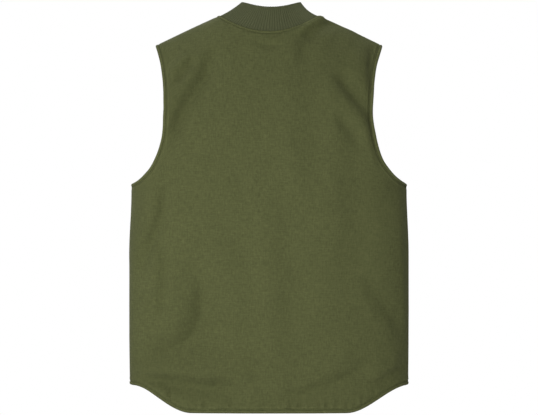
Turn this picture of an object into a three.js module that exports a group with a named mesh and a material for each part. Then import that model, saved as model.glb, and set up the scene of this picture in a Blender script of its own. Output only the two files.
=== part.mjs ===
// A canvas work vest as it hangs on a wearer: a one-piece back with a shirt-tail hem, two plain
// fronts closed by a zip, a rib-knit stand collar, and folded bindings round the armholes and the hem.
// Millimetres. +z is up and z = 0 is the neck end of the shoulder seams. +y is the wearer's back and
// +x the wearer's left, so y = 0 is the plane of the side seams.
import * as THREE from "three";

// Body, measured down from the neck end of the shoulder seam.
const NECK_HALF = 94.5;
const SHOULDER_HALF = 216;
const SHOULDER_DROP = 58;
const SHOULDER_ROUND = 60;
const UNDERARM_DROP = 319;
const SIDE_LENGTH = 699;
const BACK_LENGTH = 746;
const FRONT_LENGTH = 722;
const BACK_NECK_DROP = 33;
const FRONT_NECK_DROP = 85;
const HEM_CURVE_INNER = 151;
const HEM_CURVE_OUTER = 255;

// Cloth.
const WALL = 3;
const GAP = 0.3;

// Folded binding: its width past the sewn line, and how far it stands off the cloth on each face.
// Its shape is given as shares of those two: pinched where it is sewn down and round at the free edge.
const BINDING_WIDTH = 8;
const BINDING_PROUD = 1;
const BINDING_SHAPE = [
  { across: 0, lift: 0.4 },
  { across: 0.3, lift: 1 },
  { across: 0.82, lift: 0.8 },
  { across: 1, lift: -0.6 },
];

// Rib-knit collar.
const COLLAR_TOP_HALF = 56.5;
const COLLAR_TOP_Z = 27;
const COLLAR_TOP_BACK = { depth: 58, dip: 13 };
const COLLAR_TOP_FRONT = { depth: 72, dip: 68 };
const COLLAR_WALL = 3.4;
const COLLAR_SET_BACK = 1;
const COLLAR_ROUND = 1.6;
const COLLAR_BOW = 1.8;
const COLLAR_END_GAP = 3;
const RIB_COUNT = 104;
const RIB_DEPTH = 0.7;

// Closed zip down the front. Its relief is given by the distance below its top end: half width and
// height of the chain, then of the slider, of the pull that lies below it, and of the chain again.
const ZIP_HALF = 6;
const ZIP_TOP_GAP = 3;
const ZIP_TAPE = { top: -0.6, bottom: -2.4 };
const ZIP_BACK = { half: 2.6, bottom: -3.4 };
const ZIP_BEVEL = 0.5;
const ZIP_RELIEF = [
  { down: 0, half: 2.6, top: 0.8 },
  { down: 5, half: 2.6, top: 0.8 },
  { down: 6, half: 4.2, top: 3.4 },
  { down: 18, half: 4.2, top: 3.4 },
  { down: 19, half: 3, top: 2.4 },
  { down: 42, half: 3, top: 2.2 },
  { down: 44, half: 2.6, top: 0.8 },
];

// Grid of each panel.
const BACK_COLUMNS = 26;
const FRONT_COLUMNS = 10;
const SIDE_ROWS = 11;
const ARMHOLE_ROWS = 16;
const SHOULDER_ROWS = 5;

// The body from the chest down, by height: half width between the side seams, and how far the cloth
// stands behind and before them.
const BODY = [
  { z: -330, half: 261, back: 112, front: 122 },
  { z: -450, half: 265, back: 109, front: 122 },
  { z: -580, half: 265, back: 107, front: 120 },
  { z: -760, half: 264, back: 110, front: 118 },
];
const CHEST_Z = BODY[0].z;

// How square the body is in section: 2 is an ellipse, and more is flatter with rounder sides.
const BODY_POWER = { back: 2.8, front: 2.2 };

// Control points of the sewn line of the armhole, between the underarm and the shoulder tip.
const ARMHOLES = {
  back: { lower: { x: 165, z: -291 }, upper: { x: 182, z: -121 } },
  front: { lower: { x: 154, z: -291 }, upper: { x: 171, z: -121 } },
};

// Soft folds of the back: a valley from one point to another, with a ridge along one side of it that
// stands out by a share of the depth. Each fold fades out over a share of its length at both ends.
const BACK_FOLDS = [
  { name: "left_shoulder", x1: 105, z1: -70, x2: 192, z2: -235, depth: 4.5, width: 17, ridge: 1 },
  { name: "right_shoulder", x1: -100, z1: -75, x2: -196, z2: -222, depth: 4.5, width: 17, ridge: -1 },
  { name: "left_hip", x1: 130, z1: -485, x2: 158, z2: -630, depth: 4, width: 18, ridge: -1 },
  { name: "left_side", x1: 125, z1: -580, x2: 262, z2: -662, depth: 4, width: 18, ridge: -1 },
  { name: "left_hem", x1: 262, z1: -670, x2: -40, z2: -708, depth: 3.5, width: 15, ridge: 1 },
  { name: "right_side", x1: -180, z1: -515, x2: -262, z2: -632, depth: 4, width: 17, ridge: -1 },
];
const FOLD_RIDGE = 0.6;
const FOLD_TAPER = 0.35;
const SEAM_FADE = 45;

const CANVAS = { color: 0x585c3b, roughness: 0.95, metalness: 0 };
const RIB_KNIT = { color: 0x4b4f38, roughness: 1, metalness: 0 };
const ZIP = { color: 0x6b5f3c, roughness: 0.5, metalness: 0.6 };

const vector = (x, y, z) => new THREE.Vector3(x, y, z);
const mix = THREE.MathUtils.lerp;
const smoothstep = (t) => THREE.MathUtils.smoothstep(t, 0, 1);

// A smooth value from one named column of a table whose heights run downwards, level at both ends.
function lookUp(table, key, z) {
  const last = table.length - 2;
  let i = 0;
  while (i < last && z < table[i + 1].z) i += 1;
  const secant = (k) => (table[k + 1][key] - table[k][key]) / (table[k + 1].z - table[k].z);
  const slope = (k) => {
    if (k === 0 || k === last + 1) return 0;
    const [above, below] = [secant(k - 1), secant(k)];
    return above * below <= 0 ? 0 : (2 * above * below) / (above + below);
  };
  const step = table[i + 1].z - table[i].z;
  const t = (z - table[i].z) / step;
  const bend = t * (1 - t);
  const straight = mix(table[i][key], table[i + 1][key], t);
  const rise = table[i + 1][key] - table[i][key];
  return straight + bend * ((1 - t) * (slope(i) * step - rise) - t * (slope(i + 1) * step - rise));
}

const halfWidth = (z) => lookUp(BODY, "half", Math.min(z, CHEST_Z));

// Height of the shoulder's ridge, where back and front meet, carried on over the neck as a round.
function ridgeZ(x) {
  const run = (at) => Math.hypot(at, SHOULDER_ROUND) - Math.hypot(NECK_HALF, SHOULDER_ROUND);
  return (-SHOULDER_DROP * run(x)) / run(SHOULDER_HALF);
}

// The plain form of the body: the cloth's y at a place on the back (face 1) or the front (face -1).
// Above the chest it rounds in to the ridge of the shoulder.
function bodyY(x, z, face) {
  const level = Math.min(z, CHEST_Z);
  const share = Math.min(Math.abs(x) / halfWidth(level), 1);
  const side = face > 0 ? "back" : "front";
  const power = BODY_POWER[side];
  const section = lookUp(BODY, side, level) * (1 - share ** power) ** (1 / power);
  const climb = Math.min((z - level) / (ridgeZ(x) - CHEST_Z), 1);
  return face * (section * Math.sqrt(1 - climb * climb) + GAP / 2);
}

// Outward directions of the cloth at the wearer's left, along the side seam and the shoulder seam.
const sideFacing = (z) => vector(1, 0, halfWidth(z - 0.5) - halfWidth(z + 0.5)).normalize();
const shoulderFacing = (x) => vector(ridgeZ(x - 0.5) - ridgeZ(x + 0.5), 0, 1).normalize();

// The edge of a panel from the hem's sewn line up the side seam, the armhole and the shoulder seam.
// hem and neck say how far a row takes up the curve of the hem or of the neckline, and facing is the
// cloth's outward direction where the edge is a seam.
function edgeRows(face) {
  const rows = [];
  const hemZ = -SIDE_LENGTH + BINDING_WIDTH;
  const underarmZ = -UNDERARM_DROP - BINDING_WIDTH;
  for (let i = 0; i < SIDE_ROWS; i += 1) {
    const z = mix(hemZ, underarmZ, i / SIDE_ROWS);
    rows.push({ x: halfWidth(z), z, hem: 1 - i / SIDE_ROWS, neck: 0, facing: sideFacing(z) });
  }
  const tipX = SHOULDER_HALF - BINDING_WIDTH * shoulderFacing(SHOULDER_HALF).z;
  const { lower, upper } = face > 0 ? ARMHOLES.back : ARMHOLES.front;
  const armhole = new THREE.CubicBezierCurve(
    new THREE.Vector2(halfWidth(underarmZ), underarmZ),
    new THREE.Vector2(lower.x, lower.z),
    new THREE.Vector2(upper.x, upper.z),
    new THREE.Vector2(tipX, ridgeZ(tipX)),
  );
  for (let i = 0; i < ARMHOLE_ROWS; i += 1) {
    const at = armhole.getPoint((1 - Math.cos((Math.PI * i) / ARMHOLE_ROWS)) / 2);
    const facing = i === 0 ? sideFacing(at.y) : null;
    rows.push({ x: at.x, z: at.y, hem: 0, neck: 1 - at.y / underarmZ, facing });
  }
  for (let i = 0; i <= SHOULDER_ROWS; i += 1) {
    const x = mix(tipX, NECK_HALF, i / SHOULDER_ROWS);
    rows.push({ x, z: ridgeZ(x), hem: 0, neck: 1 - ridgeZ(x) / underarmZ, facing: shoulderFacing(x) });
  }
  return rows;
}

const UNDERARM_ROW = SIDE_ROWS;
const TIP_ROW = SIDE_ROWS + ARMHOLE_ROWS;

// How deep the folds press the cloth in at a place, with the ridge beside each valley standing out.
function foldDepth(x, z, folds) {
  let total = 0;
  for (const fold of folds) {
    const along = new THREE.Vector2(fold.x2 - fold.x1, fold.z2 - fold.z1);
    const length = along.length();
    along.divideScalar(length);
    const from = new THREE.Vector2(x - fold.x1, z - fold.z1);
    const t = from.dot(along) / length;
    const fade = smoothstep(t / FOLD_TAPER) * smoothstep((1 - t) / FOLD_TAPER);
    const off = (from.cross(along) / fold.width) * fold.ridge;
    const valley = Math.exp(-off * off);
    const ridge = FOLD_RIDGE * Math.exp(-((off - 1.5) ** 2));
    total += fold.depth * (valley - ridge) * fade;
  }
  return total;
}

// Outward normals of a grid of points, whose columns run left to right as seen from outside.
function gridNormals(points) {
  const [lastRow, lastColumn] = [points.length - 1, points[0].length - 1];
  return points.map((row, r) =>
    row.map((_, c) => {
      const across = row[Math.min(c + 1, lastColumn)].clone().sub(row[Math.max(c - 1, 0)]);
      const up = points[Math.min(r + 1, lastRow)][c].clone().sub(points[Math.max(r - 1, 0)][c]);
      return across.cross(up).normalize();
    }),
  );
}

// A panel as a grid of outer points and normals. columns holds shares of the way from the zip's edge
// to the side edge, left to right as seen from outside, and 1 is the wearer's left edge.
function panel({ face, columns, zipEdge, length, neckDrop, folds = [] }) {
  const edge = edgeRows(face);
  const points = edge.map((row) =>
    columns.map((share) => {
      const x = zipEdge + (row.x - Math.abs(zipEdge)) * share;
      const curve = smoothstep((HEM_CURVE_OUTER - Math.abs(x)) / (HEM_CURVE_OUTER - HEM_CURVE_INNER));
      const hem = row.hem * (length - SIDE_LENGTH) * curve;
      const neck = row.neck * neckDrop * (1 - (x / row.x) ** 2);
      const z = row.z - hem - neck;
      return vector(x, bodyY(x, z, face), z);
    }),
  );
  if (folds.length) pressFolds(points, folds);
  const normals = gridNormals(points);
  edge.forEach((row, r) => {
    if (!row.facing) return;
    columns.forEach((share, c) => {
      if (Math.abs(share) === 1) normals[r][c].set(share * row.facing.x, 0, row.facing.z);
    });
  });
  return { points, normals };
}

// Moves the points of a panel in along its normals by the depth of the folds, less and less towards
// the seams, where the cloth lies on y = 0.
function pressFolds(points, folds) {
  const normals = gridNormals(points);
  points.forEach((row, r) =>
    row.forEach((p, c) => {
      const fade = smoothstep(Math.abs(p.y) / SEAM_FADE);
      p.addScaledVector(normals[r][c], -fade * foldDepth(p.x, p.z, folds));
    }),
  );
}

// A closed wall from a grid: the outer face, the inner face a wall's thickness behind it, and the rim.
function wallGeometry({ points, normals }) {
  const [rows, columns] = [points.length, points[0].length];
  const outer = points.flat();
  const inner = outer.map((p, i) => p.clone().addScaledVector(normals.flat()[i], -WALL));
  const at = (r, c) => r * columns + c;
  const faces = [];
  const quad = (a, b, c, d) => faces.push(a, b, c, a, c, d);
  for (let r = 0; r + 1 < rows; r += 1) {
    for (let c = 0; c + 1 < columns; c += 1) {
      const [a, b, d, e] = [at(r, c), at(r, c + 1), at(r + 1, c + 1), at(r + 1, c)];
      quad(a, b, d, e);
      quad(...[a, e, d, b].map((i) => i + outer.length));
    }
  }
  const rim = [];
  for (let c = 0; c < columns; c += 1) rim.push(at(0, c));
  for (let r = 1; r < rows; r += 1) rim.push(at(r, columns - 1));
  for (let c = columns - 2; c >= 0; c -= 1) rim.push(at(rows - 1, c));
  for (let r = rows - 2; r > 0; r -= 1) rim.push(at(r, 0));
  rim.forEach((a, i) => {
    const b = rim[(i + 1) % rim.length];
    quad(b, a, a + outer.length, b + outer.length);
  });
  return meshGeometry([...outer, ...inner], faces);
}

function meshGeometry(points, faces) {
  const geometry = new THREE.BufferGeometry().setFromPoints(points);
  geometry.setIndex(faces);
  return geometry;
}

// A closed strip through rings of points, each ring a section of it. An open strip has flat ends, and
// the whole of its section can be seen from the section's first point.
function stripGeometry(rings, closed) {
  const n = rings[0].length;
  const faces = [];
  const spans = closed ? rings.length : rings.length - 1;
  for (let i = 0; i < spans; i += 1) {
    const [from, to] = [i * n, ((i + 1) % rings.length) * n];
    for (let k = 0; k < n; k += 1) {
      const next = (k + 1) % n;
      faces.push(from + k, to + k, to + next, from + k, to + next, from + next);
    }
  }
  if (!closed) {
    const end = (rings.length - 1) * n;
    for (let k = 1; k + 1 < n; k += 1) {
      faces.push(0, k, k + 1);
      faces.push(end, end + k + 1, end + k);
    }
  }
  return facingOut(meshGeometry(rings.flat(), faces));
}

// The same closed geometry with its faces turned to point out, if they point in.
function facingOut(geometry) {
  const p = geometry.getAttribute("position");
  const index = geometry.index.array;
  const corner = (i) => vector().fromBufferAttribute(p, index[i]);
  let volume = 0;
  for (let i = 0; i < index.length; i += 3) {
    volume += corner(i).dot(corner(i + 1).cross(corner(i + 2)));
  }
  if (volume < 0) {
    for (let i = 0; i < index.length; i += 3) {
      [index[i], index[i + 1]] = [index[i + 1], index[i]];
    }
  }
  return geometry;
}

// A strip swept along stations. Each station has a place, the outward normal of the cloth there and
// the direction away from the cloth's edge, and the section's points are { out, up } along those two.
function sweepGeometry(stations, section, closed) {
  const rings = stations.map(({ place, normal, away }) =>
    section.map(({ out, up }) => place.clone().addScaledVector(away, out).addScaledVector(normal, up)),
  );
  return stripGeometry(rings, closed);
}

// Edge places of a panel, in order, each with its normal and a place further in on the cloth.
const rowPlaces = ({ points, normals }, r, inward) =>
  points[r].map((place, c) => ({ place, normal: normals[r][c], inside: points[inward][c] }));

const columnPlaces = ({ points, normals }, c, inward, rows) =>
  rows.map((r) => ({ place: points[r][c], normal: normals[r][c], inside: points[r][inward] }));

// One place for the two that meet across a seam.
const joined = (a, b) => ({
  place: a.place.clone().add(b.place).divideScalar(2),
  normal: a.normal.clone().add(b.normal).normalize(),
  inside: a.inside.clone().add(b.inside).divideScalar(2),
});

// Places along one row of the panels, from the zip round by the wearer's left and the back to the zip.
function placesRound({ left, back, right }, r, inward) {
  const [a, b, c] = [left, back, right].map((piece) => rowPlaces(piece, r, inward));
  const [seamLeft, seamRight] = [joined(a.at(-1), b[0]), joined(b.at(-1), c[0])];
  return [...a.slice(0, -1), seamLeft, ...b.slice(1, -1), seamRight, ...c.slice(1)];
}

// Stations along an edge: away lies in the cloth, square to the edge, and points off the cloth.
function edgeStations(places, closed) {
  const last = places.length - 1;
  return places.map(({ place, normal, inside }, i) => {
    const before = places[closed ? (i + last) % places.length : Math.max(i - 1, 0)].place;
    const after = places[closed ? (i + 1) % places.length : Math.min(i + 1, last)].place;
    const away = after.clone().sub(before).cross(normal).normalize();
    if (away.dot(place.clone().sub(inside)) < 0) away.negate();
    return { place, normal, away };
  });
}

// The folded binding in section, from the sewn line out over the outer face and back under the inner.
const outerHalf = BINDING_SHAPE.map(({ across, lift }) => ({
  out: GAP + BINDING_WIDTH * across,
  up: BINDING_PROUD * lift,
}));
const innerHalf = outerHalf.map(({ out, up }) => ({ out, up: -WALL - up })).reverse();
const BINDING_SECTION = [...outerHalf, ...innerHalf];

const range = (from, to) => {
  const step = Math.sign(to - from);
  return Array.from({ length: Math.abs(to - from) + 1 }, (_, i) => from + i * step);
};

// Round one armhole: up the last column of one panel, over the shoulder tip and down the first column
// of the other.
function armholeBinding(rising, falling) {
  const last = rising.points[0].length - 1;
  const up = columnPlaces(rising, last, last - 1, range(UNDERARM_ROW, TIP_ROW));
  const down = columnPlaces(falling, 0, 1, range(TIP_ROW, UNDERARM_ROW));
  const tip = joined(up.at(-1), down[0]);
  const underarm = joined(up[0], down.at(-1));
  tip.inside = rising.points[TIP_ROW + 1][last];
  underarm.inside = rising.points[UNDERARM_ROW - 1][last];
  const places = [underarm, ...up.slice(1, -1), tip, ...down.slice(1, -1)];
  return sweepGeometry(edgeStations(places, true), BINDING_SECTION, true);
}

// Along the hem from one edge of the zip round the back to the other.
function hemBinding(panels) {
  return sweepGeometry(edgeStations(placesRound(panels, 0, 1), false), BINDING_SECTION, false);
}

// The neckline as stations from the front left, round the back, to the front right, each with its
// share of the way round the collar: -1 and 1 at the front, 0 at the middle of the back.
function neckline(panels) {
  const top = panels.back.points.length - 1;
  const places = placesRound(panels, top, top - 1);
  const shares = places.map(({ place: { x, y } }) => {
    const turn = Math.asin(THREE.MathUtils.clamp(x / NECK_HALF, -1, 1)) / Math.PI;
    return y >= 0 ? -turn : -Math.sign(x) * (1 - Math.abs(turn));
  });
  return { stations: edgeStations(places, false), shares };
}

// The finished top edge of the collar, by the share of the way round.
function collarTop(share) {
  const turn = share * Math.PI;
  const end = Math.cos(turn) > 0 ? COLLAR_TOP_BACK : COLLAR_TOP_FRONT;
  const lean = Math.cos(turn);
  return vector(-COLLAR_TOP_HALF * Math.sin(turn), end.depth * lean, COLLAR_TOP_Z - end.dip * lean * lean);
}

// The rib-knit collar: a band from the neckline's sewn edge up to its top edge, ribbed on both faces.
function collarGeometry(panels) {
  const { stations, shares } = neckline(panels);
  const endShare = 1 - Math.asin(COLLAR_END_GAP / (2 * NECK_HALF)) / Math.PI;
  const rings = range(0, RIB_COUNT * 2).map((i) => {
    const share = mix(-endShare, endShare, i / (RIB_COUNT * 2));
    let k = 0;
    while (k < shares.length - 2 && shares[k + 1] < share) k += 1;
    const t = (share - shares[k]) / (shares[k + 1] - shares[k]);
    const between = (key) => stations[k][key].clone().lerp(stations[k + 1][key], t);
    const normal = between("normal").normalize();
    const away = between("away").normalize();
    const base = between("place").addScaledVector(away, GAP);
    const top = collarTop(share);
    const outward = top.clone().sub(base).cross(away.cross(normal)).normalize();
    if (outward.dot(normal) < 0) outward.negate();
    const faceAt = (rise, depth) => {
      const facing = rise ? outward : normal;
      const bow = 4 * COLLAR_BOW * rise * (1 - rise);
      return base.clone().lerp(top, rise).addScaledVector(facing, -depth - bow);
    };
    const groove = i % 2 ? 0 : RIB_DEPTH;
    const [front, rear] = [COLLAR_SET_BACK + groove, COLLAR_SET_BACK + COLLAR_WALL - groove];
    const rises = [0, 0.5, 1 - COLLAR_ROUND / top.distanceTo(base)];
    const outer = rises.map((rise) => faceAt(rise, front));
    const inner = rises.map((rise) => faceAt(rise, rear)).reverse();
    return [...outer, faceAt(1, (front + rear) / 2), ...inner];
  });
  return stripGeometry(rings, false);
}

// The middle line of the front from a little below the neckline to the hem's edge, with the distance
// down it.
function zipLine(left) {
  const line = left.points.map((row, r) => ({
    place: row[0].clone().setX(0),
    normal: left.normals[r][0].clone().setX(0).normalize(),
  }));
  line.reverse();
  const [hem, above] = [line.at(-1), line.at(-2)];
  const fall = hem.place.clone().sub(above.place).normalize();
  line.push({ normal: hem.normal, place: hem.place.clone().addScaledVector(fall, BINDING_WIDTH) });
  line.forEach((at, i) => {
    const before = line[i - 1];
    at.down = before ? before.down + at.place.distanceTo(before.place) : -ZIP_TOP_GAP;
  });
  return line;
}

// The two rows of a table on either side of a distance down, and the share of the way between them.
function rowsAround(table, down) {
  let i = 0;
  while (i < table.length - 2 && down > table[i + 1].down) i += 1;
  const t = (down - table[i].down) / (table[i + 1].down - table[i].down);
  return [table[i], table[i + 1], THREE.MathUtils.clamp(t, 0, 1)];
}

// The closed zip in one strip: tape, chain, slider and pull.
function zipGeometry(left) {
  const line = zipLine(left);
  const reliefEnd = ZIP_RELIEF.at(-1).down;
  const plain = line.map(({ down }) => down).filter((down) => down > reliefEnd + 1);
  const tapeHalf = ZIP_HALF - GAP;
  const rings = [...ZIP_RELIEF.map(({ down }) => down), ...plain].map((down) => {
    const [a, b, t] = rowsAround(line, down);
    const [low, high, share] = rowsAround(ZIP_RELIEF, down);
    const half = mix(low.half, high.half, share);
    const top = mix(low.top, high.top, share);
    const section = [
      { out: -ZIP_BACK.half, up: ZIP_BACK.bottom },
      { out: -tapeHalf, up: ZIP_TAPE.bottom },
      { out: -tapeHalf, up: ZIP_TAPE.top },
      { out: -half, up: ZIP_TAPE.top },
      { out: ZIP_BEVEL - half, up: top },
      { out: half - ZIP_BEVEL, up: top },
      { out: half, up: ZIP_TAPE.top },
      { out: tapeHalf, up: ZIP_TAPE.top },
      { out: tapeHalf, up: ZIP_TAPE.bottom },
      { out: ZIP_BACK.half, up: ZIP_BACK.bottom },
    ];
    const place = a.place.clone().lerp(b.place, t);
    const normal = a.normal.clone().lerp(b.normal, t).normalize();
    return section.map(({ out, up }) => place.clone().addScaledVector(normal, up).setX(out));
  });
  return stripGeometry(rings, false);
}

// Shares across a panel, closer together towards its side edges.
const acrossBack = range(0, BACK_COLUMNS).map((i) => Math.cos((Math.PI * i) / BACK_COLUMNS));
const acrossLeft = range(0, FRONT_COLUMNS).map((i) => Math.sin((Math.PI * i) / (2 * FRONT_COLUMNS)));
const acrossRight = acrossLeft.map((share) => -share).reverse();

const backLengths = { length: BACK_LENGTH, neckDrop: BACK_NECK_DROP, folds: BACK_FOLDS };
const frontLengths = { length: FRONT_LENGTH, neckDrop: FRONT_NECK_DROP };
const back = panel({ face: 1, columns: acrossBack, zipEdge: 0, ...backLengths });
const left = panel({ face: -1, columns: acrossLeft, zipEdge: ZIP_HALF, ...frontLengths });
const right = panel({ face: -1, columns: acrossRight, zipEdge: -ZIP_HALF, ...frontLengths });
const panels = { left, back, right };

const vest = new THREE.Group();
function addPiece(name, geometry, look) {
  geometry.computeVertexNormals();
  const mesh = new THREE.Mesh(geometry, new THREE.MeshStandardMaterial(look));
  mesh.name = name;
  vest.add(mesh);
}

addPiece("back_panel", wallGeometry(back), CANVAS);
addPiece("front_panel_left", wallGeometry(left), CANVAS);
addPiece("front_panel_right", wallGeometry(right), CANVAS);
addPiece("collar", collarGeometry(panels), RIB_KNIT);
addPiece("armhole_binding_left", armholeBinding(left, back), CANVAS);
addPiece("armhole_binding_right", armholeBinding(back, right), CANVAS);
addPiece("hem_binding", hemBinding(panels), CANVAS);
addPiece("front_zip", zipGeometry(left), ZIP);

export default vest;
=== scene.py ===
import math
from typing import NamedTuple

import bpy
import numpy as np
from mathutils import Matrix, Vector


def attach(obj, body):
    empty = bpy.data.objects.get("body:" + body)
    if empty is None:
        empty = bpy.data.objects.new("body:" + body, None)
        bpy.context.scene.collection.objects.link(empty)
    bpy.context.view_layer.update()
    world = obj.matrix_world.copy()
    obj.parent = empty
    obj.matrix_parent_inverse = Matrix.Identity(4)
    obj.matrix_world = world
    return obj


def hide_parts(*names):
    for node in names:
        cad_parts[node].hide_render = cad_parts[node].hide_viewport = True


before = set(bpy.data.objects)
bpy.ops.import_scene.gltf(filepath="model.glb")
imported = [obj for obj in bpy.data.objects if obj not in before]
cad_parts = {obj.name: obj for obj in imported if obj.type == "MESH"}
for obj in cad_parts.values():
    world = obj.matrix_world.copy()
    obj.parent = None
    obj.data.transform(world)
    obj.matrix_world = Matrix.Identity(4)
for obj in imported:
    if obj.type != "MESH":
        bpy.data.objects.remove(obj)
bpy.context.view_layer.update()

# A canvas work vest as it hangs on a wearer. Lengths are millimetres until a mesh is made.
# +z is up from the neck end of the shoulder seams, +y the wearer's back and +x the wearer's left.
MM = 0.001
TINY = 1e-12
BACK, FRONT = 1, -1

# Cut of the body, measured down from the neck end of the shoulder seam.
NECK_HALF = 94.5
SHOULDER_HALF = 216.0
SHOULDER_DROP = 57.0
SHOULDER_ROUND = 60.0
UNDERARM_DROP = 319.0
SIDE_LENGTH = 699.0
BACK_LENGTH = 747.0
FRONT_LENGTH = 722.0
BACK_NECK_DROP = 33.0
FRONT_NECK_DROP = 85.0
HEM_CURVE_INNER = 144.5
HEM_CURVE_OUTER = 256.5
HEM_CORNER = 0.3
WALL = 3.0
SEAM_GAP = 0.004
BINDING_WIDTH = 8.0
ZIP_HALF = 6.0

# The body from the chest down by height: half width, and depth behind and before the side seams.
BODY_Z = np.array([-330.0, -450.0, -580.0, -760.0])
BODY_HALF = np.array([261.0, 265.0, 265.0, 264.0])
BODY_DEPTH = {BACK: np.array([112.0, 109.0, 107.0, 110.0]), FRONT: np.array([122.0, 122.0, 120.0, 118.0])}
BODY_POWER = {BACK: 2.8, FRONT: 2.2}
CHEST_Z = BODY_Z[0]
SLOPE_STEP = 0.02

# Control points of the sewn line of the armhole.
ARMHOLE_LOWER = {BACK: (165.0, -291.0), FRONT: (154.0, -291.0)}
ARMHOLE_UPPER = {BACK: (182.0, -121.0), FRONT: (171.0, -121.0)}

# Grid of the cloth. FIRST and LAST are its rows or columns at an edge and a little inside it.
BACK_COLUMNS = 150
FRONT_COLUMNS = 72
SIDE_ROWS = 92
ARMHOLE_ROWS = 76
SHOULDER_ROWS = 30
EDGE_CROWDING = 1.3
UNDERARM_ROW = SIDE_ROWS
TIP_ROW = SIDE_ROWS + ARMHOLE_ROWS
FIRST = (0, 2)
LAST = (-1, -3)


def unit(v):
    return v / np.maximum(np.linalg.norm(v, axis=-1, keepdims=True), TINY)


def smoothstep(t):
    t = np.clip(t, 0, 1)
    return t * t * (3 - 2 * t)


def hump(t):
    return np.exp(-t * t)


def stacked(*parts):
    return np.stack(parts, axis=-1)


def appended(*parts):
    return np.concatenate(parts)


def run_along(places):
    """Distance along a row of places from its first, or along each column of a grid."""
    steps = np.linalg.norm(np.diff(places, axis=0), axis=-1)
    return appended(np.zeros_like(steps[:1]), np.cumsum(steps, axis=0))


def between(at, run, values):
    """Places, directions or stations at distances along a row of them."""
    columns = values.reshape(len(run), -1).T
    made = stacked(*(np.interp(at, run, column) for column in columns))
    return made.reshape(*np.shape(at), *values.shape[1:])


def look_up(values, z):
    """A smooth value by height, level at both ends of the table."""
    z = np.asarray(z, float)
    step = np.diff(BODY_Z)
    rise = np.diff(values)
    slope = np.zeros(len(values))
    for k in range(1, len(values) - 1):
        above, below = rise[k - 1] / step[k - 1], rise[k] / step[k]
        slope[k] = 0 if above * below <= 0 else 2 * above * below / (above + below)
    i = np.clip(np.searchsorted(-BODY_Z, -z, side="right") - 1, 0, len(step) - 1)
    t = (z - BODY_Z[i]) / step[i]
    ends = (1 - t) * (slope[i] * step[i] - rise[i]) - t * (slope[i + 1] * step[i] - rise[i])
    return values[i] + rise[i] * t + t * (1 - t) * ends


def half_width(z):
    return look_up(BODY_HALF, np.minimum(z, CHEST_Z))


def ridge_z(x):
    """Height of the ridge of the shoulder, carried on over the neck as a round."""
    start = math.hypot(NECK_HALF, SHOULDER_ROUND)
    run = math.hypot(SHOULDER_HALF, SHOULDER_ROUND) - start
    return -SHOULDER_DROP * (np.hypot(x, SHOULDER_ROUND) - start) / run


def body_y(x, z, face):
    """The plain form of the body on its back or its front."""
    level = np.minimum(z, CHEST_Z)
    share = np.minimum(np.abs(x) / half_width(level), 1)
    power = BODY_POWER[face]
    section = look_up(BODY_DEPTH[face], level) * (1 - share**power) ** (1 / power)
    climb = np.clip((z - level) / (ridge_z(x) - CHEST_Z), 0, 1)
    return face * (section * np.sqrt(1 - climb * climb) + SEAM_GAP / 2)


def body_normals(x, z, face):
    """Outward normals of the plain form, from its slope just inside and below each place."""
    inward = np.where(x < 0, SLOPE_STEP, -SLOPE_STEP)
    y = body_y(x, z, face)
    across = (body_y(x + inward, z, face) - y) / inward
    up = (y - body_y(x, z - SLOPE_STEP, face)) / SLOPE_STEP
    return unit(face * stacked(-across, np.ones_like(x), -up))


def fall_at(form, at):
    """How far a form falls over the one millimetre around each place."""
    return form(at - 0.5) - form(at + 0.5)


def side_facing(z):
    return unit(stacked(np.ones_like(z), np.zeros_like(z), fall_at(half_width, z)))


def shoulder_facing(x):
    return unit(stacked(fall_at(ridge_z, x), np.zeros_like(x), np.ones_like(x)))


def edge_rows(face):
    """The edge of a panel from the hem up the side seam, the armhole and the shoulder seam."""
    hem_z = -SIDE_LENGTH + BINDING_WIDTH
    underarm_z = -UNDERARM_DROP - BINDING_WIDTH
    rise = (np.arange(SIDE_ROWS) / SIDE_ROWS) ** EDGE_CROWDING
    side_z = hem_z + (underarm_z - hem_z) * rise
    tip_x = SHOULDER_HALF - BINDING_WIDTH * shoulder_facing(SHOULDER_HALF)[2]
    t = ((1 - np.cos(np.pi * np.arange(ARMHOLE_ROWS) / ARMHOLE_ROWS)) / 2)[:, None]
    start = np.array([half_width(underarm_z), underarm_z])
    end = np.array([tip_x, ridge_z(tip_x)])
    lower, upper = np.array(ARMHOLE_LOWER[face]), np.array(ARMHOLE_UPPER[face])
    arm = start * (1 - t) ** 3 + lower * 3 * t * (1 - t) ** 2 + upper * 3 * t * t * (1 - t) + end * t**3
    along = 1 - (1 - np.arange(SHOULDER_ROWS + 1) / SHOULDER_ROWS) ** EDGE_CROWDING
    top_x = tip_x + (NECK_HALF - tip_x) * along
    x = appended(half_width(side_z), arm[:, 0], top_x)
    z = appended(side_z, arm[:, 1], ridge_z(top_x))
    hem = appended(1 - rise, np.zeros(len(x) - SIDE_ROWS))
    neck = appended(np.zeros(SIDE_ROWS), 1 - z[SIDE_ROWS:] / underarm_z)
    facing = np.full((len(x), 3), np.nan)
    facing[: UNDERARM_ROW + 1] = side_facing(z[: UNDERARM_ROW + 1])
    facing[TIP_ROW:] = shoulder_facing(top_x)
    return {"x": x, "z": z, "hem": hem, "neck": neck, "facing": facing}


class Fold(NamedTuple):
    """A soft fold. Its line of (x, z) is the flank: the cloth stands out on the side that ridge points to
    and sinks on the other, as far as the two widths. The line of a rolled fold is its crease: the cloth
    bends over towards it and stops there. With a depth under zero the crease stands out."""

    depth: float
    width: tuple
    ridge: tuple
    line: list
    rolled: bool = False


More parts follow.
